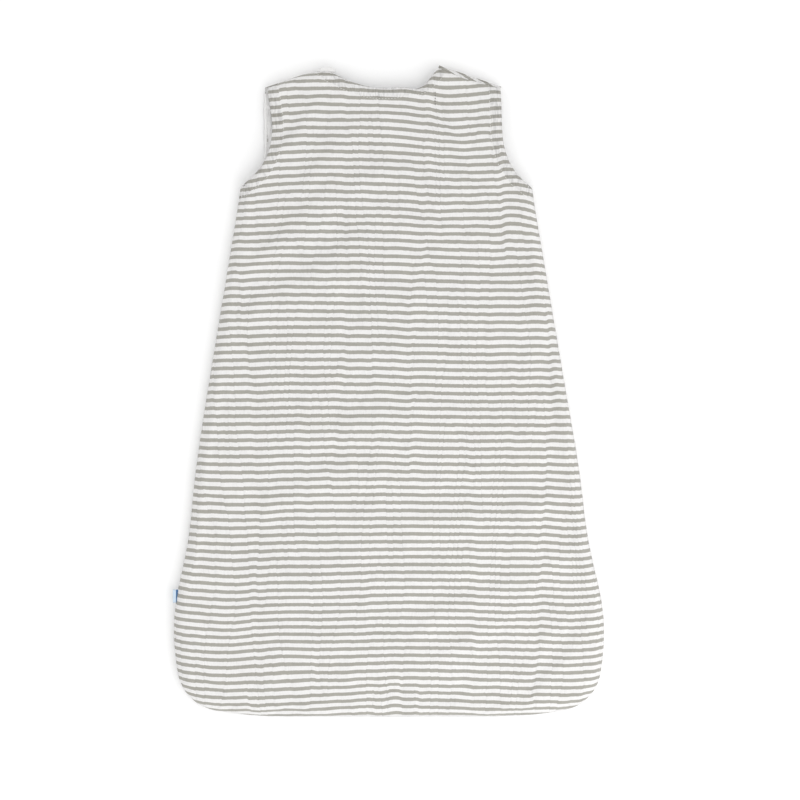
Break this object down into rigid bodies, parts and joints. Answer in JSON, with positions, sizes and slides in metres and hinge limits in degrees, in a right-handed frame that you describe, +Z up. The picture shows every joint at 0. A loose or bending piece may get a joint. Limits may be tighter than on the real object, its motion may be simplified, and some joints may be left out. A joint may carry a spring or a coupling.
{
  "type": "baby sleeping bag",
  "caption": "Sleeveless striped muslin baby sleeping bag, lightly padded, lying flat on its front with a centre-front zip",
  "frame": {"origin": "on the surface the bag lies on, under the middle of its length and width", "axes": "+Z up through the thickness, back panel on top; +Y from the hem to the neck; +X to the right when looking down on the back"},
  "size_m": [0.463, 0.7, 0.021],
  "materials": {
    "striped_muslin": "double gauze cotton, off-white with warm grey stripes about 4 mm wide every 8.3 mm",
    "wadding": "bonded polyester wadding",
    "lining": "plain off-white cotton muslin",
    "label_blue": "woven tape folded in two, plain",
    "label_white": "blank printed-tape satin",
    "zip_tape": "woven polyester tape",
    "zip_plastic": "moulded acetal, light grey",
    "zip_metal": "nickel-plated zinc",
    "pull_rubber": "soft moulded grip, warm grey"
  },
  "bodies": {
    "bag": {"back_shell": "striped_muslin", "back_wadding": "wadding", "back_lining": "lining", "front_shell_left": "striped_muslin", "front_shell_right": "striped_muslin", "front_wadding_left": "wadding", "front_wadding_right": "wadding", "front_lining_left": "lining", "front_lining_right": "lining", "neck_facing": "lining", "armhole_facing_left": "lining", "armhole_facing_right": "lining", "zip_tape_left": "zip_tape", "zip_tape_right": "zip_tape", "zip_teeth_left": "zip_plastic", "zip_teeth_right": "zip_plastic", "zip_top_stop_left": "zip_plastic", "zip_top_stop_right": "zip_plastic", "zip_bottom_stop": "zip_plastic", "zip_guard": "striped_muslin", "zip_garage": "striped_muslin", "side_label": "label_blue", "care_label": "label_white", "size_label": "label_white"},
    "slider": {"zip_slider_body": "zip_metal", "zip_slider_crown": "zip_metal"},
    "pull": {"zip_pull_link": "zip_metal", "zip_pull_grip": "pull_rubber"}
  },
  "joints": [
    {"name": "zip_slide", "type": "slide", "parent": "bag", "child": "slider", "axis": [0, -1, 0], "range_m": [0, 0.582]},
    {"name": "pull_swing", "type": "hinge", "parent": "slider", "child": "pull", "pos_m": [0, 0.2818, 0.0012], "axis": [1, 0, 0], "range_deg": [0, 165]}
  ]
}
